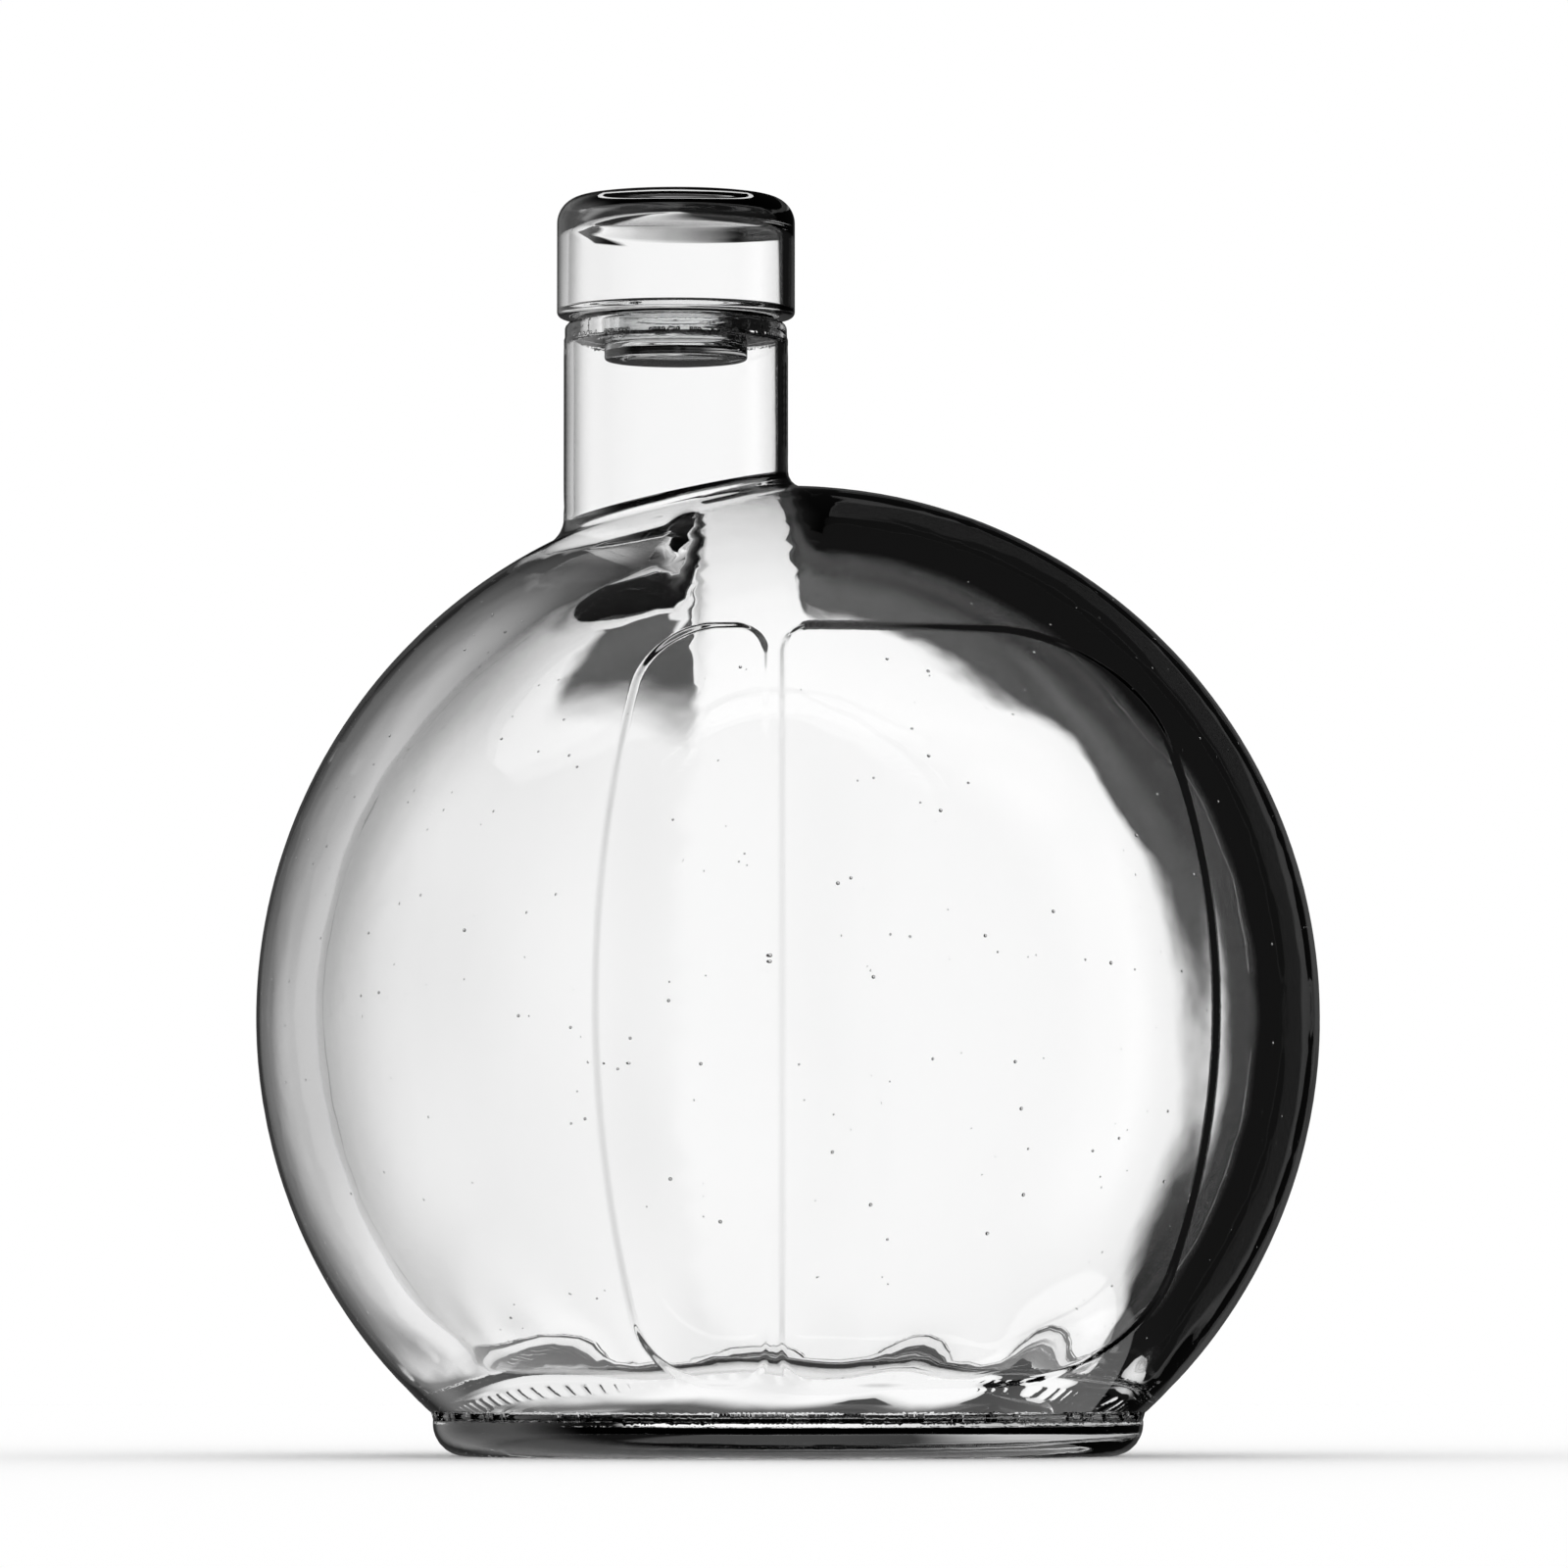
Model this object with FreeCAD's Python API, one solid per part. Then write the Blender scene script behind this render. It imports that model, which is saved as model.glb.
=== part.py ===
import FreeCAD, Part
import math
import os

# A clear glass spirits bottle: a thick walled globe on a ring foot, with its neck set to one side
# of the globe's axis. Shallow windows are pressed into the globe, and a glass stopper closes it.
# Millimetres, +Z up, origin at the middle of the foot's resting ring, front towards -Y.

# Globe, a ball whose lowest part is cut away by the foot
globe_radius = 65.6
globe_sink = 11.5
globe_centre_height = globe_radius - globe_sink

# Foot
foot_radius = 43.75
heel_radius = 4.0
foot_land = 0.3
rest_ring_width = 6.0
push_up_height = 3.6
groove_depth = 0.5
groove_height = 0.6

# Neck
neck_offset = 13.9
neck_radius = 13.8
neck_rise = 20.6
lip_height = globe_centre_height + globe_radius + neck_rise
lip_round = 1.0
finish_height = 2.2
finish_step = 0.12
shoulder_fillet = 1.9

# Inside of the bottle
globe_wall = 7.4
base_thickness = 10.5
base_dome_rise = 2.2
inner_heel_radius = 12.0
bore_radius = 9.25
mouth_round = 0.8
throat_fillet = 4.0

# Windows pressed into the globe, their sides measured from its axis and their far ends from its edge
window_depth = 0.9
back_window_depth = 0.3
window_top_margin = 20.0
crease_reach = 23.1
crease_end_reach = 16.6
rib_offset = 1.7
rib_width = 1.1
far_side_margin = 14.0
far_end_margin = 6.7
back_window_start = 8.5
rib_corner = 4.0
crease_corner = 8.0
far_corner = 14.0

# Rounds of the front windows' rims and floors, as shares of their depth
window_rim_share = 0.16
window_floor_share = 0.24

# Stopper, its shank and bead sized from the bore
head_radius = 14.75
head_height = 15.0
head_top_round = 3.3
head_bottom_round = 0.7
shank_gap = 1.05
shank_radius = bore_radius - shank_gap
bead_gap = 0.4
bead_radius = bore_radius - bead_gap
bead_height = 1.1
bead_round = 0.4

# Seal on the stopper's shank
flange_radius = 12.2
flange_thickness = 0.5
seal_depth = 3.8
seal_clearance = 0.05
seal_rib_drop = 1.5
seal_rib_height = 0.9
seal_rib_land = 0.3

# One overrun serves all cuts. Edges are told apart by points along them, to this share of a radius
overrun = 5.0
edge_samples = 9
closeness_share = 0.0001

UP = FreeCAD.Vector(0, 0, 1)
BACK = FreeCAD.Vector(0, 1, 0)
neck_foot = FreeCAD.Vector(-neck_offset, 0, 0)


def at(reach, height):
    """A point in the X-Z plane."""
    return FreeCAD.Vector(reach, 0, height)


def line(start, end):
    """Straight edge."""
    return Part.LineSegment(start, end).toShape()


def arc(start, middle, end):
    """Arc through three points."""
    return Part.Arc(start, middle, end).toShape()


def arc_about(centre, radius, start_turn, end_turn):
    """Arc in the X-Z plane about a centre, its turns in radians from +X towards +Z."""
    turns = (start_turn, (start_turn + end_turn) / 2, end_turn)
    points = [centre + at(radius * math.cos(turn), radius * math.sin(turn)) for turn in turns]
    return arc(*points)


def crown(edge_reach, edge_height, middle_height):
    """Arc of a shallow dome, from its rim in to its middle on the axis."""
    rise = middle_height - edge_height
    dome_radius = (edge_reach ** 2 + rise ** 2) / (2 * rise)
    half_reach = edge_reach / 2
    drop = dome_radius - math.sqrt(dome_radius ** 2 - half_reach ** 2)
    return arc(at(edge_reach, edge_height), at(half_reach, middle_height - drop), at(0, middle_height))


def turned(edges, axis_foot):
    """Solid turned about a vertical axis from a closed profile."""
    face = Part.Face(Part.Wire(Part.__sortEdges__(edges)))
    face.translate(axis_foot)
    return face.revolve(axis_foot, UP, 360)


def reach_at(radius, height):
    """How far from its axis a ball on the globe's centre lies at a height."""
    return math.sqrt(radius ** 2 - (height - globe_centre_height) ** 2)


def globe_and_foot():
    """Outside of the globe, the groove under it and the ring foot, solid through."""
    groove_bottom = heel_radius + foot_land + groove_height
    groove_top = groove_bottom + groove_height
    heel_reach = foot_radius - heel_radius
    ring_reach = heel_reach - rest_ring_width
    start_turn = math.asin((groove_top - globe_centre_height) / globe_radius)
    globe_top = globe_centre_height + globe_radius
    land_top = at(foot_radius, heel_radius + foot_land)
    groove_root = at(foot_radius - groove_depth, groove_bottom)
    edges = [
        crown(ring_reach, 0, push_up_height),
        line(at(ring_reach, 0), at(heel_reach, 0)),
        arc_about(at(heel_reach, heel_radius), heel_radius, -math.pi / 2, 0),
        line(at(foot_radius, heel_radius), land_top),
        line(land_top, groove_root),
        line(groove_root, at(reach_at(globe_radius, groove_top), groove_top)),
        arc_about(at(0, globe_centre_height), globe_radius, start_turn, math.pi / 2),
        line(at(0, globe_top), at(0, push_up_height)),
    ]
    return turned(edges, FreeCAD.Vector())


def neck_stem():
    """Outside of the neck, from inside the globe up to the rounded lip, solid through."""
    start = globe_centre_height
    step_height = lip_height - finish_height
    finish_radius = neck_radius - finish_step
    edges = [
        line(at(0, start), at(neck_radius, start)),
        line(at(neck_radius, start), at(neck_radius, step_height)),
        line(at(neck_radius, step_height), at(finish_radius, step_height + finish_step)),
        line(at(finish_radius, step_height + finish_step), at(finish_radius, lip_height - lip_round)),
        arc_about(at(finish_radius - lip_round, lip_height - lip_round), lip_round, 0, math.pi / 2),
        line(at(finish_radius - lip_round, lip_height), at(0, lip_height)),
        line(at(0, lip_height), at(0, start)),
    ]
    return turned(edges, neck_foot)


def on_ball(point, radius):
    """True where a point lies on a ball about the globe's centre."""
    centre = at(0, globe_centre_height)
    return abs((point - centre).Length - radius) < radius * closeness_share


def real_edges(shape):
    """Edges with their points along them, without the points where a ball's seam ends."""
    kept = [edge for edge in shape.Edges if not edge.Degenerated]
    return [(edge, edge.discretize(Number=edge_samples)) for edge in kept]


def circular_edges(shape, axis_foot, radius, low, high):
    """Edges whose points all lie at one distance from a vertical axis, between two heights."""
    found = []
    for edge, points in real_edges(shape):
        offsets = [math.hypot(p.x - axis_foot.x, p.y - axis_foot.y) for p in points]
        if max(abs(offset - radius) for offset in offsets) > radius * closeness_share:
            continue
        goes_round = max((p - points[0]).Length for p in points) > radius
        if goes_round and min(p.z for p in points) > low and max(p.z for p in points) < high:
            found.append(edge)
    return found


def with_neck(globe):
    """Globe and neck in one, blended where the neck leaves the shoulder."""
    shape = globe.fuse(neck_stem())
    below_finish = lip_height - finish_height - overrun
    seam = circular_edges(shape, neck_foot, neck_radius, globe_centre_height, below_finish)
    return shape.makeFillet(shoulder_fillet, seam)


def window_cutter(left, right, depth, direction):
    """Cutter for one window: its outline, pushed into the globe as far as the window's floor.

    A side is its reach half way up, its reach at its ends and the round of its two corners.
    """
    half_height = globe_radius - window_top_margin
    low = globe_centre_height - half_height
    high = globe_centre_height + half_height
    outline = [
        line(at(left[1], low), at(right[1], low)),
        line(at(right[1], high), at(left[1], high)),
    ]
    for middle, end, _ in (left, right):
        if middle == end:
            outline.append(line(at(end, low), at(end, high)))
        else:
            outline.append(arc(at(end, low), at(middle, globe_centre_height), at(end, high)))
    face = Part.Face(Part.Wire(Part.__sortEdges__(outline)))
    block = face.extrude(BACK * (direction * (globe_radius + overrun)))
    for _, end, corner in (left, right):
        corner_edges = []
        for edge, points in real_edges(block):
            first, last = points[0], points[-1]
            along = abs(last.y - first.y) > globe_radius
            if along and abs(first.x - end) < rib_width / 2:
                corner_edges.append(edge)
        block = block.makeFillet(corner, corner_edges)
    floor = Part.makeSphere(globe_radius - depth, at(0, globe_centre_height))
    return block.cut(floor)


def with_floor_rounded(cutter):
    """A front window's cutter, with the edge of the floor it leaves made soft."""
    floor_edges = []
    for edge, points in real_edges(cutter):
        if all(on_ball(p, globe_radius - window_depth) for p in points):
            floor_edges.append(edge)
    return cutter.makeFillet(window_depth * window_floor_share, floor_edges).Solids[0]


def with_windows(shape):
    """The globe with a slim and a broad window in front and a fainter broad one behind."""
    half_height = globe_radius - window_top_margin
    rib_left = -rib_offset - rib_width / 2
    rib_right = -rib_offset + rib_width / 2
    far_end = reach_at(globe_radius, globe_centre_height + half_height) - far_end_margin
    far_side = (globe_radius - far_side_margin, far_end, far_corner)
    crease_side = (-crease_reach, -crease_end_reach, crease_corner)
    back_side = (back_window_start, back_window_start, crease_corner)
    slim = window_cutter(crease_side, (rib_left, rib_left, rib_corner), window_depth, -1)
    broad = window_cutter((rib_right, rib_right, rib_corner), far_side, window_depth, -1)
    back = window_cutter(back_side, far_side, back_window_depth, 1)
    for cutter in (with_floor_rounded(slim), with_floor_rounded(broad)):
        shape = shape.cut(cutter).Solids[0]
    rims = []
    for edge, points in real_edges(shape):
        beside = all(abs(p.z - globe_centre_height) < half_height + rib_width for p in points)
        if beside and all(on_ball(p, globe_radius) for p in points):
            rims.append(edge)
    shape = shape.makeFillet(window_depth * window_rim_share, rims)
    return shape.cut(back).Solids[0]


def hollow():
    """Inside of the bottle: the globe's space with its domed floor, the throat and the bore."""
    inner_radius = globe_radius - globe_wall
    floor_reach = reach_at(inner_radius, base_thickness)
    start_turn = math.asin((base_thickness - globe_centre_height) / inner_radius)
    edges = [
        crown(floor_reach, base_thickness, base_thickness + base_dome_rise),
        arc_about(at(0, globe_centre_height), inner_radius, start_turn, math.pi / 2),
        line(at(0, globe_centre_height + inner_radius), at(0, base_thickness + base_dome_rise)),
    ]
    space = turned(edges, FreeCAD.Vector())
    rim = circular_edges(space, FreeCAD.Vector(), floor_reach, 0, globe_centre_height)
    space = space.makeFillet(inner_heel_radius, rim)
    bore_start = neck_foot + UP * globe_centre_height
    bore = Part.makeCylinder(bore_radius, lip_height + overrun - globe_centre_height, bore_start)
    space = space.fuse(bore)
    throat = circular_edges(space, neck_foot, bore_radius, globe_centre_height + overrun, lip_height)
    return space.makeFillet(throat_fillet, throat)


def bottle():
    """The bottle's glass, all in one piece as it leaves the mould."""
    glass = with_neck(with_windows(globe_and_foot())).cut(hollow())
    mouth = circular_edges(glass, neck_foot, bore_radius, lip_height - overrun, lip_height + overrun)
    return glass.makeFillet(mouth_round, mouth)


def stopper():
    """Turned glass stopper: a tall flat head, and a short shank with a bead that keeps the seal on."""
    head_foot = lip_height + flange_thickness
    head_top = head_foot + head_height
    bead_top = lip_height - seal_depth
    tip = bead_top - bead_height
    low_centre = at(head_radius - head_bottom_round, head_foot + head_bottom_round)
    high_centre = at(head_radius - head_top_round, head_top - head_top_round)
    bead_centre = at(bead_radius - bead_round, tip + bead_round)
    edges = [
        line(at(0, tip), at(bead_radius - bead_round, tip)),
        arc_about(bead_centre, bead_round, -math.pi / 2, 0),
        line(at(bead_radius, tip + bead_round), at(bead_radius, bead_top)),
        line(at(bead_radius, bead_top), at(shank_radius, bead_top)),
        line(at(shank_radius, bead_top), at(shank_radius, head_foot)),
        line(at(shank_radius, head_foot), at(head_radius - head_bottom_round, head_foot)),
        arc_about(low_centre, head_bottom_round, -math.pi / 2, 0),
        line(at(head_radius, head_foot + head_bottom_round), at(head_radius, head_top - head_top_round)),
        arc_about(high_centre, head_top_round, 0, math.pi / 2),
        line(at(head_radius - head_top_round, head_top), at(0, head_top)),
        line(at(0, head_top), at(0, tip)),
    ]
    return turned(edges, neck_foot)


def stopper_seal():
    """Soft clear seal, pushed over the shank's bead: a sleeve, its wiping rib and its flange."""
    inner = shank_radius + seal_clearance
    rib_reach = bore_radius - seal_clearance
    foot = lip_height - seal_depth
    flange_top = lip_height + flange_thickness
    rib_top = lip_height - seal_rib_drop
    rib_slope = (seal_rib_height - seal_rib_land) / 2
    points = [
        at(inner, foot),
        at(bead_radius, foot),
        at(bead_radius, rib_top - seal_rib_height),
        at(rib_reach, rib_top - seal_rib_height + rib_slope),
        at(rib_reach, rib_top - rib_slope),
        at(bead_radius, rib_top),
        at(bead_radius, lip_height),
        at(flange_radius, lip_height),
        at(flange_radius, flange_top),
        at(inner, flange_top),
    ]
    edges = [line(points[index - 1], points[index]) for index in range(len(points))]
    return turned(edges, neck_foot)


def main():
    """Write each piece, where it sits with the bottle closed."""
    os.makedirs("parts", exist_ok=True)
    pieces = {"bottle": bottle(), "glass_stopper": stopper(), "stopper_seal": stopper_seal()}
    for name, shape in pieces.items():
        shape.exportStep("parts/" + name + ".step")
        print(name, "valid", shape.isValid(), "solids", len(shape.Solids), "volume", round(shape.Volume))


main()
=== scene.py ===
import math

import bpy
import numpy as np
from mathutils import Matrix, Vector


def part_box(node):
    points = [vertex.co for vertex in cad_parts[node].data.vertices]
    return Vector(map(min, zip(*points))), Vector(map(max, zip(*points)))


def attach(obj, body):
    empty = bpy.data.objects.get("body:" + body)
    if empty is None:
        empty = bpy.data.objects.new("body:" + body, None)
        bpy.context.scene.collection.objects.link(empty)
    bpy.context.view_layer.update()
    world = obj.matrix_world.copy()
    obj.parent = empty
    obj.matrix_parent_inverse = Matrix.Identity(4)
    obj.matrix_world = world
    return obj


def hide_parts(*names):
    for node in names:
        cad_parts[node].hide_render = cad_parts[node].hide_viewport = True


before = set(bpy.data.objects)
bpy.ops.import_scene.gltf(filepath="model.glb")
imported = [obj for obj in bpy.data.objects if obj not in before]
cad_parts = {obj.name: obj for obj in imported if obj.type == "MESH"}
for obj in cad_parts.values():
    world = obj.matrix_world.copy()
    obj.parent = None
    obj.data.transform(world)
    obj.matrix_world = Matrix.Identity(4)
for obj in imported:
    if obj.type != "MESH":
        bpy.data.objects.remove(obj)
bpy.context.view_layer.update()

# The bottle: clear flint glass, blown in a two part mould, so its outside is smooth and its inside
# a little uneven. The thick globe stands on a ring foot with a groove over it, the neck is set off
# to the left, and shallow windows with soft rims are pressed into the front and the back.
MM = 0.001
bottle_low, bottle_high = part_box("bottle")
stopper_low, stopper_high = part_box("glass_stopper")
lip_height = bottle_high.z / MM
neck_x = (stopper_low.x + stopper_high.x) / 2 / MM

# The globe, its hollow and its floor, in millimetres like all sizes here
globe_radius = 65.6
globe_height = 54.1
inner_radius = 58.2
floor_height = 9.8
floor_dome_radius = 300.0
inner_heel_round = 7.0

# Where the blown wall is thinner, beside the neck's foot, and how uneven it is elsewhere
thinning_depth = 4.0
thinning_reach = 22.0
thinning_rise = 20.0
thinning_left, thinning_right = (-14.0, -10.0), (1.0, 5.0)
uneven_depth, uneven_period = 0.05, 34.0
heel_wave_depth, heel_wave_period = 0.45, 19.0
heel_wave_reach = 7.0

# The foot, the groove over it and the push-up under it, with knurls in the ring that stands
foot_radius = 43.75
heel_round = 4.0
foot_top = 4.9
foot_edge_round = 0.3
groove_radius = 0.5
groove_edge_round = 0.1
push_up_height = 3.6
push_up_radius = 194.0
push_up_edge_round = 0.8
knurl_depth = 0.3
knurl_count = 96
knurl_inner, knurl_outer = 34.6, 39.4

# The neck, its finish round the lip, and its bore with the land that the seal wipes
neck_radius = 13.8
lip_round = 1.0
finish_height = 2.2
finish_step = 0.12
shoulder_round = 1.9
bore_radius = 9.25
mouth_round = 0.8
land_height = 2.2
land_round = 0.6
neck_inner_radius = 12.7
throat_round = 4.0

# The windows: how deep, how their rims fall, and how far right of the globe's axis their sides are
window_depth, back_depth = 0.9, 0.3
window_half_height = 45.6
rim_outer, rim_inner = 0.15, 1.0
rim_share = 0.2
rim_soft, rim_end_soft = 12.0, 28.0
back_rim_inner = 8.0
crease_reach, crease_end_reach = -23.1, -16.6
rib_left, rib_right = -2.25, -1.15
far_reach, far_end_reach = 51.6, 40.5
back_start = 8.5
rib_corner, crease_corner, far_corner = 4.0, 8.0, 14.0

# The raised line that the mould's two halves leave down each side
seam_height = 0.1
seam_half_width = 0.3

# How long the sides of the mesh's triangles may be in each zone, how wide the zones are, and how
# fast the sides may grow away from them
coarse_edge = 2.3
plain_edge = coarse_edge * 1.6
rim_edge, shoulder_edge, neck_edge = 0.38, 0.7, 1.3
lip_edge, heel_edge, ring_edge = 0.6, 0.55, 0.7
skin_zone, rim_zone, shoulder_zone, shoulder_rise = 1.5, 0.7, 1.4, 2.5
shoulder_depth, neck_depth, neck_zone = 5, 4, 3
lip_zone, heel_depth, heel_zone = 0.6, 5, 1.0
ring_rise, ring_zone = 0.8, 2.6
edge_growth = 0.8
outside_zone = coarse_edge * 9
net_rounds = 7
coarser = 1.0


def blend_join(a, b, radius):
    """Distance to two bodies in one, with a fillet where they meet."""
    fillet = np.hypot(np.maximum(radius - a, 0), np.maximum(radius - b, 0))
    return np.maximum(radius, np.minimum(a, b)) - fillet


def blend_meet(a, b, radius):
    """Distance to what two bodies share, with its edge rounded."""
    edge = np.hypot(np.maximum(radius + a, 0), np.maximum(radius + b, 0))
    return np.minimum(-radius, np.maximum(a, b)) + edge


def eased(value, low, high):
    """0 below low, 1 above high and an even swing between."""
    share = np.clip((value - low) / (high - low), 0, 1)
    return share * share * (3 - 2 * share)


def bowed_side(x, height, middle, end):
    """How far right of a side that bows from its ends, at the windows' corners, to its middle."""
    bow = abs(end - middle)
    radius = (window_half_height ** 2 + bow ** 2) / (2 * bow)
    centre = middle + math.copysign(radius, end - middle)
    return np.hypot(x - centre, height) - radius


def window_outline(left, right, left_corner, right_corner, height):
    """Distance from a window's outline as seen from the front, less than zero inside it."""
    ends = np.abs(height) - window_half_height
    left_half = blend_meet(left, ends, left_corner)
    return np.maximum(left_half, blend_meet(right, ends, right_corner))


def outlines(x, height):
    """The slim and the broad window of the front, and the one of the back."""
    crease = bowed_side(x, height, crease_reach, crease_end_reach)
    far = bowed_side(x, height, far_reach, far_end_reach)
    slim = window_outline(crease, x - rib_left, crease_corner, rib_corner, height)
    broad = window_outline(rib_right - x, far, rib_corner, far_corner, height)
    back = window_outline(back_start - x, far, crease_corner, far_corner, height)
    return slim, broad, back


def window_recess(x, y, height):
    """How deep the windows are pressed in at a place on the globe."""
    slim, broad, back = outlines(x, height)
    within = -np.minimum(slim, broad)
    bowl = eased(within, 0, rim_soft)
    bowl = bowl * eased(window_half_height - np.abs(height), 0, rim_end_soft)
    front = rim_share * eased(within, -rim_outer, rim_inner) + (1 - rim_share) * bowl
    behind = back_depth * eased(-back, -rim_outer, back_rim_inner)
    return np.where(y < 0, window_depth * front, behind)


def unevenness(x, y, z):
    """Slow waves of the blown inside wall and quicker ones in its heel, none in step."""
    a = np.sin(x / uneven_period * 2 * math.pi + 1.3) * np.cos(z / uneven_period * 1.7 * math.pi)
    b = np.sin((y + z) / uneven_period * 1.4 * math.pi + 0.4)
    b = b * np.cos(x / uneven_period * math.pi)
    c = np.sin((x + 0.4 * y) / heel_wave_period * 2 * math.pi + 2.0)
    c = c * np.cos((y - 5) / heel_wave_period * math.pi)
    near_floor = np.exp(-((z - floor_height) / heel_wave_reach) ** 2)
    return uneven_depth * (a + b) + heel_wave_depth * c * near_floor


def knurls(x, y, reach):
    """Small crosswise notches in the ring that the bottle stands on."""
    turn = np.arctan2(y, x) * knurl_count
    band = eased(reach, knurl_inner, knurl_inner + 1)
    band = band * eased(-reach, -knurl_outer, -knurl_outer + 1)
    return knurl_depth * band * (0.5 + 0.5 * np.cos(turn)) ** 2


def glass_distance(points, inside_neck=neck_inner_radius):
    """Signed distance to the glass, less than zero inside it, for points in millimetres."""
    x, y, z = points[:, 0], points[:, 1], points[:, 2]
    height = z - globe_height
    reach = np.hypot(x, y)
    ball = np.sqrt(reach ** 2 + height ** 2)
    neck_reach = np.hypot(x - neck_x, y)
    seam = seam_height * np.exp(-(y / seam_half_width) ** 2)

    globe = ball - globe_radius + window_recess(x, y, height) - seam
    foot = blend_meet(reach - foot_radius, knurls(x, y, reach) - z, heel_round)
    foot = blend_meet(foot, z - foot_top, foot_edge_round)
    body = np.minimum(np.maximum(globe, foot_top - z), foot)
    groove = groove_radius - np.hypot(reach - foot_radius, z - foot_top)
    body = blend_meet(body, groove, groove_edge_round)
    push_up = np.hypot(reach, z - push_up_height + push_up_radius) - push_up_radius
    body = blend_meet(body, -push_up, push_up_edge_round)
    finish_foot = lip_height - finish_height
    finish = finish_step * eased(z, finish_foot, finish_foot + finish_step)
    neck = blend_meet(neck_reach - neck_radius + finish - seam, z - lip_height, lip_round)
    neck = np.maximum(neck, -height)
    outside = blend_join(body, neck, shoulder_round)

    thinner = thinning_depth * np.exp(-(neck_reach / thinning_reach) ** 2)
    thinner = thinner * eased(height, 0, thinning_rise)
    thinner *= eased(x, *thinning_left) * (1 - eased(x, *thinning_right))
    hollow = ball - inner_radius - thinner + unevenness(x, y, z)
    domed_floor = np.hypot(reach, z - floor_height + floor_dome_radius) - floor_dome_radius
    hollow = blend_meet(hollow, -domed_floor, inner_heel_round)
    wide = blend_meet(neck_reach - inside_neck, z - lip_height + land_height, land_round)
    bore = np.maximum(np.minimum(neck_reach - bore_radius, wide), -height)
    hollow = blend_join(hollow, bore, throat_round)
    return blend_meet(outside, -hollow, mouth_round)


def slope(points):
    """Direction in which the distance grows fastest, and how fast."""
    step = 0.01
    steps = step * np.eye(3)
    rises = [glass_distance(points + s) - glass_distance(points - s) for s in steps]
    return np.stack(rises, axis=1) / (2 * step)


def settled(points):
    """Points moved straight onto the glass."""
    step = 0.002
    for _ in range(3):
        here = glass_distance(points)
        rises = [glass_distance(points + s) - here for s in step * np.eye(3)]
        direction = np.stack(rises, axis=1) / step
        steepness = np.maximum((direction ** 2).sum(axis=1), 1e-6)
        points = points - direction * (here / steepness)[:, None]
    return points


def edge_wanted(points):
    """How long a side of a triangle may be there: short where the glass turns quickly."""
    x, y, z = points[:, 0], points[:, 1], points[:, 2]
    height = z - globe_height
    reach = np.hypot(x, y)
    ball = np.sqrt(reach ** 2 + height ** 2)
    neck_reach = np.hypot(x - neck_x, y)
    far = np.full_like(x, outside_zone)
    slim, broad, _ = outlines(x, height)
    rim = np.minimum(np.abs(slim + rim_inner / 2), np.abs(broad + rim_inner / 2)) - rim_zone
    on_globe = (np.abs(ball - globe_radius) < skin_zone) & (z > foot_top)
    rim = np.where(on_globe & (y < 0), rim, far)
    shoulder = np.abs(neck_reach - neck_radius - shoulder_zone / 2) - shoulder_zone
    shoulder = np.maximum(shoulder, ball - globe_radius - shoulder_rise)
    above = (z > globe_height) & (ball > inner_radius + shoulder_depth)
    shoulder = np.where(above, shoulder, far)
    neck = globe_height + inner_radius - neck_depth - z
    neck = np.maximum(neck, neck_reach - neck_radius - neck_zone)
    lip = lip_height - finish_height - lip_zone - z
    heel = np.where(reach > foot_radius - heel_depth, np.abs(z - foot_top) - heel_zone, far)
    ring = np.abs(reach - (knurl_inner + knurl_outer) / 2) - ring_zone
    ring = np.maximum(z - ring_rise, ring)
    zones = (
        (rim, rim_edge), (shoulder, shoulder_edge), (neck, neck_edge),
        (lip, lip_edge), (heel, heel_edge), (ring, ring_edge),
    )
    wanted = np.full_like(x, plain_edge)
    for near, side in zones:
        wanted = np.minimum(wanted, side * coarser + edge_growth * np.maximum(near, 0))
    return wanted


def step_ends(grid, axis):
    """What a grid holds at the start and at the end of each of its steps along an axis."""
    start, end = [slice(None)] * 3, [slice(None)] * 3
    start[axis] = slice(0, -1)
    end[axis] = slice(1, None)
    return grid[tuple(start)], grid[tuple(end)]


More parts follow.
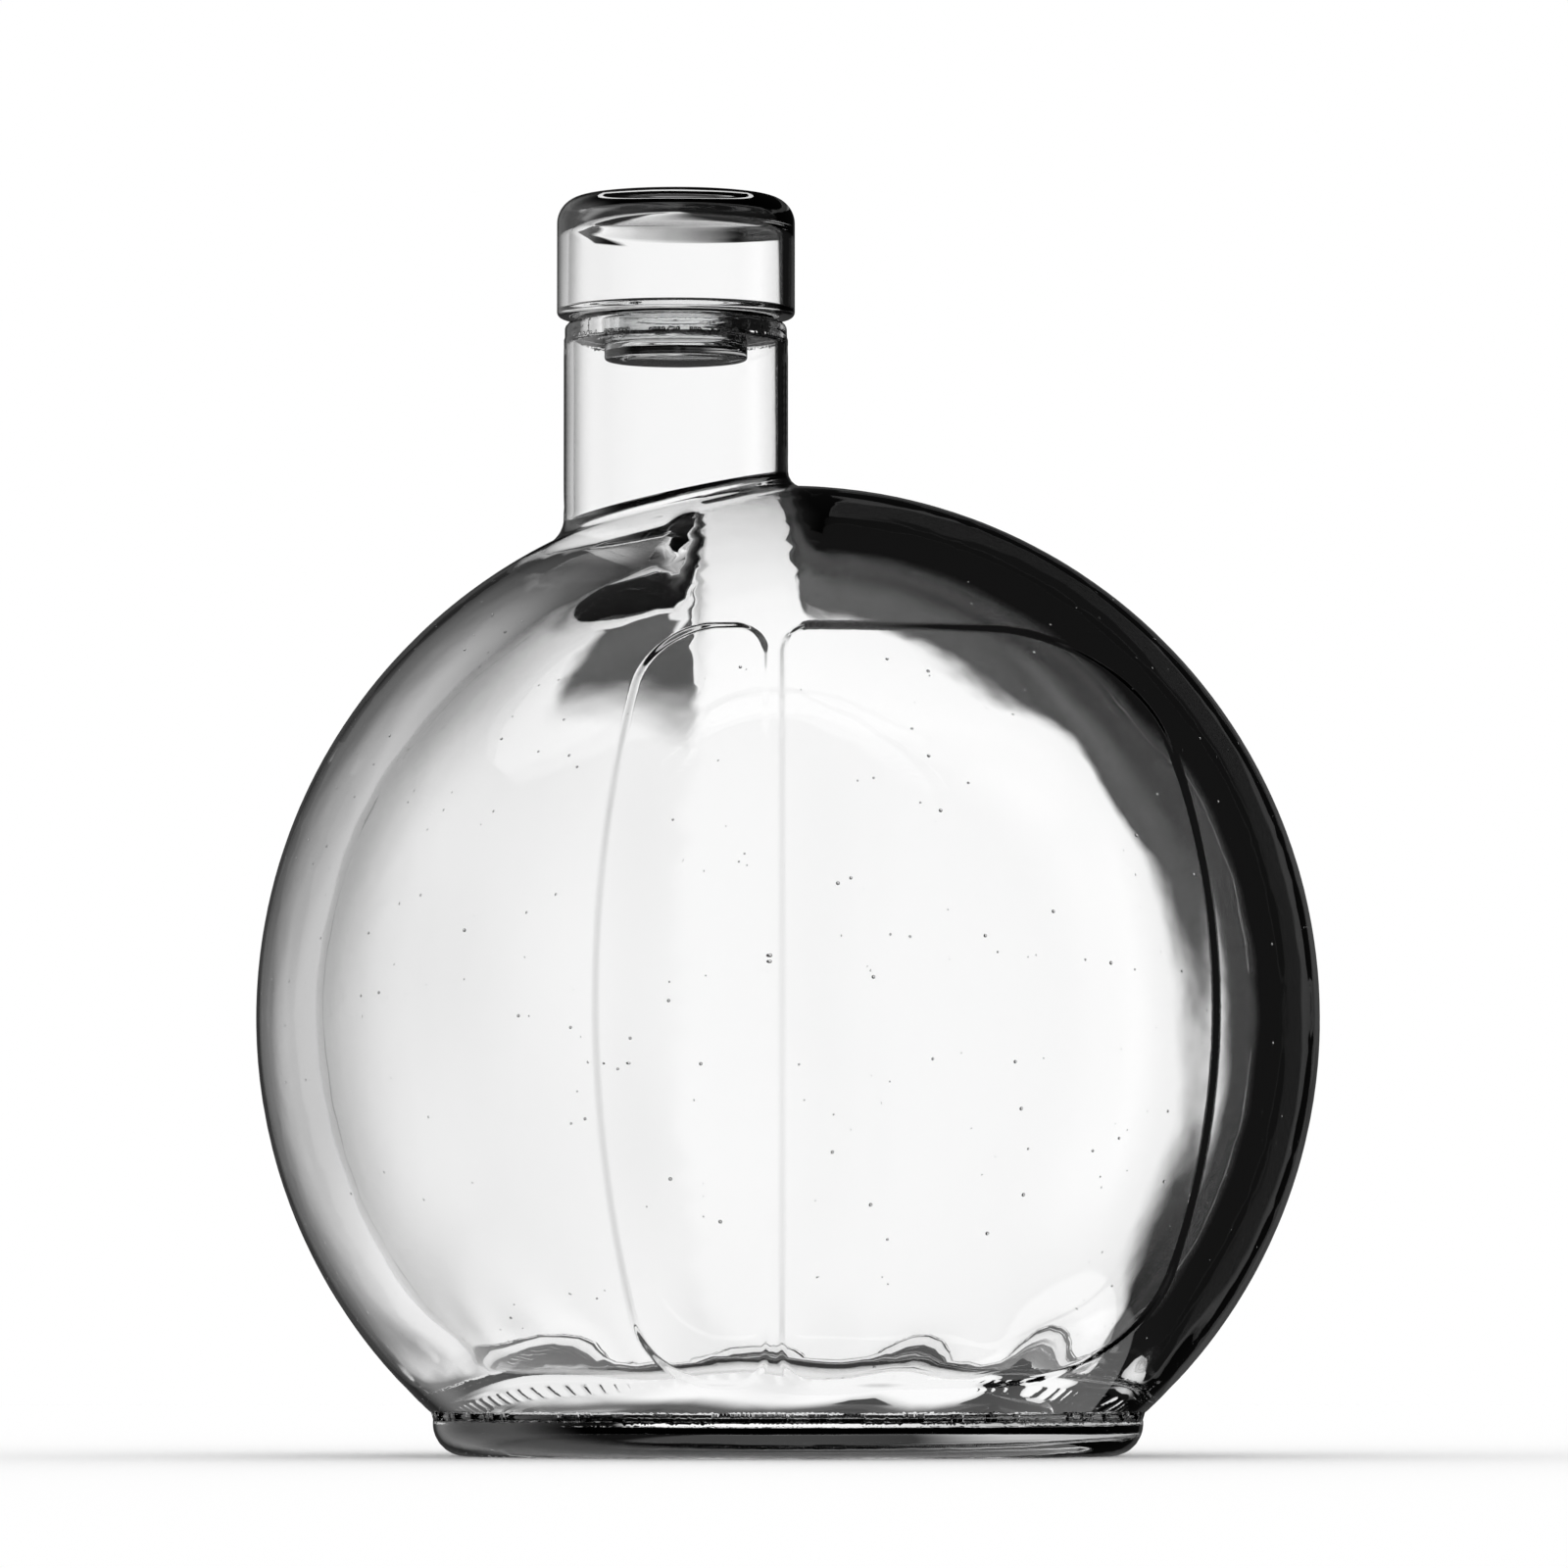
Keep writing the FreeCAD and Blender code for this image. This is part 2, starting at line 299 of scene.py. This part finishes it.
def skin_of(distance, low, high, step):
    """Triangles round a body, one corner for each grid cell that the body's skin passes."""
    counts = np.ceil((high - low) / step).astype(int) + 1
    axes = [low[k] + step * np.arange(counts[k]) for k in range(3)]
    grid = np.stack(np.meshgrid(*axes, indexing="ij"), axis=-1).reshape(-1, 3)
    field = distance(grid).reshape(counts)
    cells = counts - 1
    total = np.zeros((*cells, 3))
    crossings = np.zeros(cells)
    for axis in range(3):
        u, v = [k for k in range(3) if k != axis]
        a, b = step_ends(field, axis)
        crossed = (a < 0) != (b < 0)
        share = np.where(crossed, a / np.where(crossed, a - b, 1), 0)
        for i in (0, 1):
            for j in (0, 1):
                side = [slice(None)] * 3
                side[axis] = slice(0, cells[axis])
                side[u] = slice(i, i + cells[u])
                side[v] = slice(j, j + cells[v])
                hit = crossed[tuple(side)]
                place = np.zeros((*cells, 3))
                place[..., axis] = share[tuple(side)]
                place[..., u] = i
                place[..., v] = j
                total += place * hit[..., None]
                crossings += hit
    live = crossings > 0
    number = -np.ones(cells, int)
    number[live] = np.arange(live.sum())
    corner = np.stack(np.nonzero(live), axis=1)
    points = low + step * (corner + total[live] / crossings[live][:, None])
    faces = []
    for axis in range(3):
        u, v = [k for k in range(3) if k != axis]
        a, b = step_ends(field < 0, axis)
        where = np.stack(np.nonzero(a != b), axis=1)
        quad = []
        for du, dv in ((1, 1), (0, 1), (0, 0), (1, 0)):
            cell = where.copy()
            cell[:, u] -= du
            cell[:, v] -= dv
            quad.append(number[tuple(cell.T)])
        quad = np.stack(quad, axis=1)
        outward = a[tuple(where.T)] if axis != 1 else ~a[tuple(where.T)]
        quad[~outward] = quad[~outward][:, ::-1]
        faces.append(quad)
    quads = np.concatenate(faces)
    first = np.linalg.norm(points[quads[:, 0]] - points[quads[:, 2]], axis=1)
    second = np.linalg.norm(points[quads[:, 1]] - points[quads[:, 3]], axis=1)
    quads = np.where((first > second)[:, None], np.roll(quads, -1, axis=1), quads)
    return points, np.concatenate([quads[:, [0, 1, 2]], quads[:, [0, 2, 3]]])


def sides_of(faces):
    """Each side once, and which side each face's three are."""
    sides = np.sort(faces[:, [[0, 1], [1, 2], [2, 0]]].reshape(-1, 2), axis=1)
    once, which = np.unique(sides, axis=0, return_inverse=True)
    return once, which.reshape(-1, 3)


def split_long(points, faces, settle, wanted):
    """Faces with each side that is too long for its place split at a new point on the skin."""
    sides, which = sides_of(faces)
    ends = points[sides]
    middle = ends.mean(axis=1)
    long = np.linalg.norm(ends[:, 0] - ends[:, 1], axis=1) > wanted(middle)
    number = -np.ones(len(sides), int)
    number[long] = len(points) + np.arange(long.sum())
    points = np.concatenate([points, settle(middle[long])])
    split = number[which]
    count = (split >= 0).sum(axis=1)
    one, two, three = count == 1, count == 2, count == 3
    shift = np.argmax(split >= 0, axis=1)
    shift[two] = (np.argmin(split[two] >= 0, axis=1) + 1) % 3
    order = (shift[:, None] + np.arange(3)) % 3
    a, b, c = np.take_along_axis(faces, order, axis=1).T
    ab, bc, ca = np.take_along_axis(split, order, axis=1).T
    made = [faces[count == 0]]
    for chosen, corners in (
        (one, ((a, ab, c), (ab, b, c))),
        (two, ((ab, b, bc), (a, ab, bc), (a, bc, c))),
        (three, ((a, ab, ca), (ab, b, bc), (ca, bc, c), (ab, bc, ca))),
    ):
        made += [np.stack(face, axis=1)[chosen] for face in corners]
    return points, np.concatenate(made), int(long.sum())


def relaxed(points, faces, settle):
    """Points moved half way to the middle of their neighbours, and back onto the skin."""
    sides, _ = sides_of(faces)
    total = np.zeros_like(points)
    count = np.zeros(len(points))
    for a, b in ((0, 1), (1, 0)):
        here, there = sides[:, a], points[sides[:, b]]
        count += np.bincount(here, minlength=len(points))
        for axis in range(3):
            total[:, axis] += np.bincount(here, there[:, axis], minlength=len(points))
    middle = total / count[:, None]
    return settle(points + (middle - points) / 2)


def mesh_of(name, points, faces, normals=None):
    """Smooth mesh object at the origin from points in millimetres."""
    mesh = bpy.data.meshes.new(name)
    mesh.vertices.add(len(points))
    mesh.vertices.foreach_set("co", (points * MM).astype(np.float32).ravel())
    mesh.loops.add(faces.size)
    mesh.loops.foreach_set("vertex_index", faces.astype(np.int32).ravel())
    mesh.polygons.add(len(faces))
    mesh.polygons.foreach_set("loop_start", np.arange(0, faces.size, 3, dtype=np.int32))
    mesh.update(calc_edges=True)
    mesh.validate()
    mesh.polygons.foreach_set("use_smooth", np.ones(len(mesh.polygons), bool))
    if normals is not None:
        mesh.normals_split_custom_set_from_vertices(normals)
    piece = bpy.data.objects.new(name, mesh)
    bpy.context.scene.collection.objects.link(piece)
    return piece


# The first net is too coarse for the thin neck, so it is cast with a thick one and settles outwards
margin = 3.0 * coarse_edge
glass_points, glass_faces = skin_of(
    lambda grid: glass_distance(grid, bore_radius),
    np.array(bottle_low) / MM - margin, np.array(bottle_high) / MM + margin, coarse_edge,
)
glass_points = settled(glass_points)
for _ in range(net_rounds):
    glass_points, glass_faces, added = split_long(glass_points, glass_faces, settled, edge_wanted)
    glass_points = relaxed(glass_points, glass_faces, settled)
    if not added:
        break
glass_normals = slope(glass_points)
glass_normals /= np.linalg.norm(glass_normals, axis=1)[:, None]


def node(tree, kind, settings=None, inputs=None):
    """Adds a node with its settings, and its inputs as values or as other nodes' outputs."""
    made = tree.nodes.new(kind)
    for key, value in (settings or {}).items():
        setattr(made, key, value)
    for key, value in (inputs or {}).items():
        if isinstance(value, bpy.types.NodeSocket):
            tree.links.new(value, made.inputs[key])
        else:
            made.inputs[key].default_value = value
    return made


def colour(code):
    """Linear colour from an sRGB hex code."""
    shares = [int(code[i:i + 2], 16) / 255 for i in (0, 2, 4)]
    linear = [s / 12.92 if s <= 0.04045 else ((s + 0.055) / 1.055) ** 2.4 for s in shares]
    return (*linear, 1.0)


def material_of(name, values):
    """New material, and its shader with these values."""
    made = bpy.data.materials.new(name)
    made.use_nodes = True
    shader = made.node_tree.nodes["Principled BSDF"]
    for key, value in values.items():
        shader.inputs[key].default_value = value
    return made, shader


# Soda-lime flint glass, fire polished: clear and sharp, with slow ripples of the mould in its skin
ripple_period = 7.0 * MM
ripple_height = 0.02 * MM
flint, flint_shader = material_of("flint_glass_fire_polished", {
    "Base Color": colour("FFFFFF"), "Transmission Weight": 1.0, "IOR": 1.52, "Roughness": 0.0,
})
flint_tree = flint.node_tree
flint_place = node(flint_tree, "ShaderNodeTexCoord")
ripple = node(flint_tree, "ShaderNodeTexNoise", None, {
    "Vector": flint_place.outputs["Object"], "Scale": 1 / ripple_period,
    "Detail": 1.5, "Roughness": 0.4,
})
ripple_bump = node(flint_tree, "ShaderNodeBump", None, {
    "Height": ripple.outputs["Fac"], "Strength": 1.0, "Distance": ripple_height,
})
flint_tree.links.new(ripple_bump.outputs["Normal"], flint_shader.inputs["Normal"])

bottle_glass = mesh_of("bottle_glass", glass_points, glass_faces, glass_normals)
bottle_glass.data.materials.append(flint)
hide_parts("bottle")
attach(bottle_glass, "bottle")


# Seeds: the pinhead bubbles that stay in the wall when the bottle is blown. They sit half way
# through the globe's wall, some three to every four square centimetres, and show as fine dust.
# Lowest and highest are shares of their reach, below and above the globe's middle.
seed_values = {
    "Count": 280,
    "Reach": (globe_radius + inner_radius) / 2 * MM,
    "Middle": globe_height * MM,
    "Lowest": -0.7,
    "Highest": 0.82,
    "Smallest": 0.07 * MM,
    "Largest": 0.24 * MM,
    "Seed": 7,
}
seed_tree = bpy.data.node_groups.new("seeds_in_glass", "GeometryNodeTree")
for name, value in seed_values.items():
    kind = "NodeSocketInt" if isinstance(value, int) else "NodeSocketFloat"
    seed_tree.interface.new_socket(name, in_out="INPUT", socket_type=kind)
seed_tree.interface.new_socket("Geometry", in_out="OUTPUT", socket_type="NodeSocketGeometry")
seed_in = node(seed_tree, "NodeGroupInput").outputs
seed_places = node(seed_tree, "GeometryNodePoints", None, {"Count": seed_in["Count"], "Radius": MM})


def random_of(low, high, offset):
    """Random value for each bubble."""
    own = node(
        seed_tree, "ShaderNodeMath", {"operation": "ADD"}, {0: seed_in["Seed"], 1: float(offset)}
    )
    made = node(
        seed_tree, "FunctionNodeRandomValue", {"data_type": "FLOAT"}, {"Seed": own.outputs[0]}
    )
    sockets = [i for i in made.inputs if i.enabled and i.name in ("Min", "Max")]
    for socket, value in zip(sockets, (low, high)):
        if isinstance(value, bpy.types.NodeSocket):
            seed_tree.links.new(value, socket)
        else:
            socket.default_value = value
    return [o for o in made.outputs if o.enabled][0]


# Each bubble's direction from the globe's middle: an even share of its height, then a turn
share = random_of(seed_in["Lowest"], seed_in["Highest"], 1)
slant = node(seed_tree, "ShaderNodeMath", {"operation": "ARCCOSINE"}, {0: share})
beside = node(seed_tree, "ShaderNodeMath", {"operation": "SINE"}, {0: slant.outputs[0]})
flat_way = node(seed_tree, "ShaderNodeCombineXYZ", None, {0: beside.outputs[0], 2: share})
way = node(seed_tree, "ShaderNodeVectorRotate", {"rotation_type": "Z_AXIS"}, {
    "Vector": flat_way.outputs[0], "Angle": random_of(0.0, 2 * math.pi, 3),
})
out = node(seed_tree, "ShaderNodeVectorMath", {"operation": "SCALE"}, {
    0: way.outputs[0], "Scale": seed_in["Reach"],
})
middle = node(seed_tree, "ShaderNodeCombineXYZ", None, {2: seed_in["Middle"]})
place = node(seed_tree, "ShaderNodeVectorMath", {"operation": "ADD"}, {
    0: out.outputs[0], 1: middle.outputs[0],
})
moved = node(seed_tree, "GeometryNodeSetPosition", None, {
    "Geometry": seed_places.outputs[0], "Position": place.outputs[0],
})
bubble = node(seed_tree, "GeometryNodeMeshIcoSphere", None, {"Radius": 1.0, "Subdivisions": 2})
spread = node(seed_tree, "GeometryNodeInstanceOnPoints", None, {
    "Points": moved.outputs[0], "Instance": bubble.outputs[0],
    "Scale": random_of(seed_in["Smallest"], seed_in["Largest"], 2),
})
made_real = node(seed_tree, "GeometryNodeRealizeInstances", None, {"Geometry": spread.outputs[0]})
smooth = node(seed_tree, "GeometryNodeSetShadeSmooth", None, {0: made_real.outputs[0]})
painted = node(seed_tree, "GeometryNodeSetMaterial", None, {
    "Geometry": smooth.outputs[0], "Material": flint,
})
node(seed_tree, "NodeGroupOutput", None, {0: painted.outputs[0]})


def grown(name, tree, values):
    """Object whose mesh is what a node tree makes of these values."""
    start = bpy.data.meshes.new(name + "_start")
    piece = bpy.data.objects.new(name, start)
    bpy.context.scene.collection.objects.link(piece)
    shape = piece.modifiers.new("shape", "NODES")
    shape.node_group = tree
    for item in tree.interface.items_tree:
        if item.item_type == "SOCKET" and item.in_out == "INPUT":
            shape[item.identifier] = values[item.name]
    bpy.context.view_layer.update()
    made = piece.evaluated_get(bpy.context.evaluated_depsgraph_get())
    mesh = bpy.data.meshes.new_from_object(made)
    mesh.name = name
    piece.modifiers.remove(shape)
    piece.data = mesh
    bpy.data.meshes.remove(start)
    return piece


seeds = grown("seeds_in_glass", seed_tree, seed_values)
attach(seeds, "bottle")

# The stopper: clear pressed glass, round about the neck's axis and fire polished. Its head and its
# shank are hollow, so that they stay as clear as the neck, and a bead at its tip holds the seal.
head_radius = 14.75
head_foot = lip_height + 0.5
head_top = stopper_high.z / MM
head_top_round = 3.3
head_bottom_round = 0.7
shank_radius = 8.2
bead_radius = 8.85
bead_height = 1.1
bead_round = 0.4
stopper_tip = stopper_low.z / MM

# The hollow inside: its walls, and the rounds of the head's and the shank's ends
head_wall, head_floor, head_roof = 1.4, 0.7, 2.1
shank_wall = 1.1
cavity_reach = head_radius - head_wall
cavity_top = head_top - head_roof
cavity_foot = head_foot + head_floor
shank_inner = shank_radius - shank_wall
shank_floor = stopper_tip + shank_wall
cavity_top_round, cavity_foot_round = 3.0, 0.6
shank_top_round, shank_floor_round = 0.8, 1.5
turned_sides = 160
sharp_angle = 25.0


def arc(centre, radius, start, end, count=9):
    """Points of an arc in the turning plane, angles in degrees."""
    turns = [math.radians(start + (end - start) * index / (count - 1)) for index in range(count)]
    return [(centre[0] + radius * math.cos(t), centre[1] + radius * math.sin(t)) for t in turns]


def turned(name, runs, sides, close):
    """Body turned round the neck's axis from runs of points with the glass on their left."""
    points, faces = [], []
    for run in runs:
        rings = []
        for reach, z in run:
            if reach < 1e-6:
                rings.append([len(points)])
                points.append((neck_x, 0.0, z))
                continue
            rings.append(list(range(len(points), len(points) + sides)))
            for side in range(sides):
                turn = 2 * math.pi * side / sides
                points.append((neck_x + reach * math.cos(turn), reach * math.sin(turn), z))
        for low, high in zip(rings, rings[1:] + (rings[:1] if close else [])):
            for side in range(sides):
                after = (side + 1) % sides
                if len(low) > 1:
                    faces.append((low[side], low[after], high[side % len(high)]))
                if len(high) > 1:
                    faces.append((low[after % len(low)], high[after], high[side]))
    piece = mesh_of(name, np.array(points), np.array(faces))
    piece.data.set_sharp_from_angle(angle=math.radians(sharp_angle))
    return piece


outer_run = [(0.0, stopper_tip)]
outer_run += arc((bead_radius - bead_round, stopper_tip + bead_round), bead_round, -90, 0)
outer_run += [(bead_radius, stopper_tip + bead_height), (shank_radius, stopper_tip + bead_height)]
outer_run += [(shank_radius, head_foot)]
outer_run += arc(
    (head_radius - head_bottom_round, head_foot + head_bottom_round), head_bottom_round, -90, 0
)
outer_run += arc(
    (head_radius - head_top_round, head_top - head_top_round), head_top_round, 0, 90, 17
)
outer_run += [(0.0, head_top)]
inner_run = [(0.0, cavity_top)]
inner_run += arc(
    (cavity_reach - cavity_top_round, cavity_top - cavity_top_round), cavity_top_round, 90, 0, 17
)
inner_run += arc(
    (cavity_reach - cavity_foot_round, cavity_foot + cavity_foot_round), cavity_foot_round, 0, -90
)
inner_run += arc(
    (shank_inner + shank_top_round, cavity_foot - shank_top_round), shank_top_round, 90, 180
)
inner_run += arc(
    (shank_inner - shank_floor_round, shank_floor + shank_floor_round), shank_floor_round, 0, -90
)
inner_run += [(0.0, shank_floor)]
stopper_glass = turned("glass_stopper_hollow", [outer_run, inner_run], turned_sides, False)
stopper_glass.data.materials.append(flint)
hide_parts("glass_stopper")
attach(stopper_glass, "stopper")

# The seal: a soft sleeve moulded in one piece and pushed over the shank's bead. Its flange keeps
# the head off the lip, and its one rib wipes the bore.
flange_radius = 12.2
seal_foot = lip_height - 3.8
rib_top = lip_height - 1.5
rib_foot = rib_top - 0.9
rib_slope = 0.3
rib_reach = bore_radius - 0.05
sleeve_inner = shank_radius + 0.05

# Clear silicone, moulded soft: a little milky beside the glass, with a skin that isn't quite sharp
silicone, _ = material_of("silicone_clear_soft", {
    "Base Color": colour("F7F8F8"), "Transmission Weight": 1.0, "IOR": 1.41, "Roughness": 0.06,
})
seal_run = [
    (sleeve_inner, seal_foot), (bead_radius, seal_foot), (bead_radius, rib_foot),
    (rib_reach, rib_foot + rib_slope), (rib_reach, rib_top - rib_slope), (bead_radius, rib_top),
    (bead_radius, lip_height), (flange_radius, lip_height), (flange_radius, head_foot),
    (sleeve_inner, head_foot),
]
seal = turned("silicone_seal", [seal_run], turned_sides, True)
seal.data.materials.append(silicone)
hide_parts("stopper_seal")
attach(seal, "stopper")

# The place where the bottle stands: a pale round board under a bright wall, as a glass photographer
# sets it, with a black flag to the right. The camera and the board see plain white, and the glass
# alone sees the wall.
board_radius = 1.25
board_sides = 96
board_turns = [2 * math.pi * side / board_sides for side in range(board_sides)]
board_points = [(0.0, 0.0, 0.0)]
board_points += [(board_radius * math.cos(t), board_radius * math.sin(t), 0.0) for t in board_turns]
board_faces = [(0, 1 + side, 1 + (side + 1) % board_sides) for side in range(board_sides)]
board_mesh = bpy.data.meshes.new("board")
board_mesh.from_pydata(board_points, [], board_faces)

# Painted board, dead flat: plain white without a gleam, so only the bottle's soft shadow shows
board_paint, _ = material_of("white_board", {
    "Base Color": colour("FFFFFF"), "Roughness": 0.9, "Specular IOR Level": 0.0,
})
board_mesh.materials.append(board_paint)
board = bpy.data.objects.new("board", board_mesh)
bpy.context.scene.collection.objects.link(board)
board.visible_transmission = False
board.visible_glossy = False

# The wall's lights and darks, in degrees: azimuth is to the right of straight behind the bottle as
# the camera sees it, and rise is above level. Each pair is where a share starts and where it ends.
wall_level = 1.12
grey_share, grey_across, grey_up, grey_below = 0.5, (2.0, -28.0), (-32.0, -6.0), 0.25
grey_end = (-80.0, -48.0)
smudge_share, smudge_azimuth, smudge_rise, smudge_wide, smudge_high = 0.3, -26.0, 14.0, 18.0, 14.0
flag_black, flag_soft, flag_end = 0.996, 2.0, (74.0, 66.0)
stripe_azimuth, stripe_across = -4.7, (2.1, 1.2)
stripe_foot, stripe_top = (8.5, 11.5), (60.0, 40.0)

# The flag's edge from the floor to overhead, as rise and azimuth
flag_edge = [
    (-90, 80), (-40, 70), (-32, 30), (-27, 7), (-24, 8), (-20, 10), (-15, 13), (-10, 15.5),
    (-5, 17.3), (0, 18.6), (4, 18.4), (7, 17), (9, 14), (10.5, 10), (12, 7.5), (13.5, 4),
    (15, 0.5), (18, -0.5), (30, -0.5), (45, 2), (90, 5),
]

# The dark room that light sees once the glass has mirrored it: lit from the left and from low down
room_black = 0.006
room_left, room_left_up = (-12.0, -30.0), (50.0, 22.0)
room_low, room_low_share = (-16.0, -42.0), (0.05, 0.9)
room_behind, room_top = (110.0, 75.0), (85.0, 60.0)

world = bpy.data.worlds.new("studio")
bpy.context.scene.world = world
world.use_nodes = True
sky = world.node_tree
sky.nodes.clear()
direction = node(sky, "ShaderNodeTexCoord")
parts = node(sky, "ShaderNodeSeparateXYZ", None, {0: direction.outputs["Generated"]}).outputs
path = node(sky, "ShaderNodeLightPath").outputs


def math_of(operation, a, b=0.0, c=0.0):
    """Result of one sum."""
    return node(sky, "ShaderNodeMath", {"operation": operation}, {0: a, 1: b, 2: c}).outputs[0]


def ramp(value, start, end, low=0.0, high=1.0, shape="SMOOTHSTEP"):
    """Low before start and high after end, eased between them unless told otherwise."""
    made = node(sky, "ShaderNodeMapRange", {"interpolation_type": shape}, {
        "Value": value, "From Min": start, "From Max": end, "To Min": low, "To Max": high,
    })
    return made.outputs["Result"]


def less(value, share, amount):
    """Value darkened by a share of an amount."""
    return math_of("MULTIPLY", value, math_of("MULTIPLY_ADD", amount, -share, 1.0))


azimuth = math_of("MULTIPLY", math_of("ARCTAN2", parts["X"], parts["Y"]), 180 / math.pi)
rise = math_of("MULTIPLY", math_of("ARCSINE", parts["Z"]), 180 / math.pi)
mirrored = math_of("MINIMUM", path["Glossy Depth"], 1.0)

# The flag: black from its edge to where it ends far round the right, and a black stripe that runs
# up the middle of the wall from a little above level
flag_curve = node(sky, "ShaderNodeFloatCurve", None, {
    "Value": ramp(rise, -90.0, 90.0, shape="LINEAR"),
})
curve = flag_curve.mapping.curves[0]
for index, (up, side) in enumerate(flag_edge):
    spot = ((up + 90) / 180, (side + 90) / 180)
    if index < 2:
        curve.points[index].location = spot
    else:
        curve.points.new(*spot)
flag_curve.mapping.update()
edge = math_of("MULTIPLY_ADD", flag_curve.outputs[0], 180.0, -90.0)
beyond = ramp(math_of("SUBTRACT", azimuth, edge), -flag_soft, flag_soft)
flag = math_of("MULTIPLY", beyond, math_of("MAXIMUM", ramp(azimuth, *flag_end), mirrored))
stripe = ramp(math_of("ABSOLUTE", math_of("SUBTRACT", azimuth, stripe_azimuth)), *stripe_across)
stripe = math_of("MULTIPLY", stripe, ramp(rise, *stripe_foot))
dark = math_of("MAXIMUM", flag, math_of("MULTIPLY", stripe, ramp(rise, *stripe_top)))

# The wall: grey to the left, with a soft smudge in it, and black at the flag and the stripe
grey = math_of("MULTIPLY", ramp(azimuth, *grey_across), ramp(rise, *grey_up, grey_below))
grey = math_of("MULTIPLY", grey, ramp(azimuth, *grey_end))
across = math_of("DIVIDE", math_of("SUBTRACT", azimuth, smudge_azimuth), smudge_wide)
above = math_of("DIVIDE", math_of("SUBTRACT", rise, smudge_rise), smudge_high)
away = math_of("ADD", math_of("MULTIPLY", across, across), math_of("MULTIPLY", above, above))
wall = math_of("MULTIPLY_ADD", grey, -grey_share, 1.0)
wall = less(wall, smudge_share, ramp(away, 1.0, 0.0))
wall = less(wall, flag_black, dark)

# The room, and the choice of what each ray sees
lit = math_of("MULTIPLY", ramp(azimuth, *room_left), ramp(math_of("ABSOLUTE", rise), *room_left_up))
lit = math_of("MAXIMUM", lit, ramp(rise, *room_low, *room_low_share))
behind = math_of(
    "MULTIPLY", ramp(math_of("ABSOLUTE", azimuth), *room_behind), ramp(rise, *room_top)
)
room = math_of("MULTIPLY_ADD", math_of("MULTIPLY", lit, behind), wall, room_black)
wall = math_of("MULTIPLY_ADD", mirrored, math_of("SUBTRACT", room, wall), wall)
in_glass = math_of("MAXIMUM", path["Is Transmission Ray"], mirrored)
seen = math_of("MULTIPLY_ADD", wall, wall_level, -1.0)
level = math_of("MULTIPLY_ADD", in_glass, seen, 1.0)
background = node(sky, "ShaderNodeBackground", None, {"Color": (1, 1, 1, 1), "Strength": level})
node(sky, "ShaderNodeOutputWorld", None, {"Surface": background.outputs[0]})

# The camera of the picture: a long lens, low, tipped up a little
camera_place = Vector((-0.5, -1260.0, 12.7))
camera_tip = 3.19
camera_data = bpy.data.cameras.new("camera")
camera_data.sensor_width = 36.0
camera_data.lens = 234.3
camera_data.clip_start = 0.05
camera_data.clip_end = 20.0
camera = bpy.data.objects.new("camera", camera_data)
bpy.context.scene.collection.objects.link(camera)
camera.location = camera_place * MM
camera.rotation_euler = (math.radians(90 + camera_tip), 0, 0)
bpy.context.scene.camera = camera
bpy.context.scene.view_settings.view_transform = "Standard"
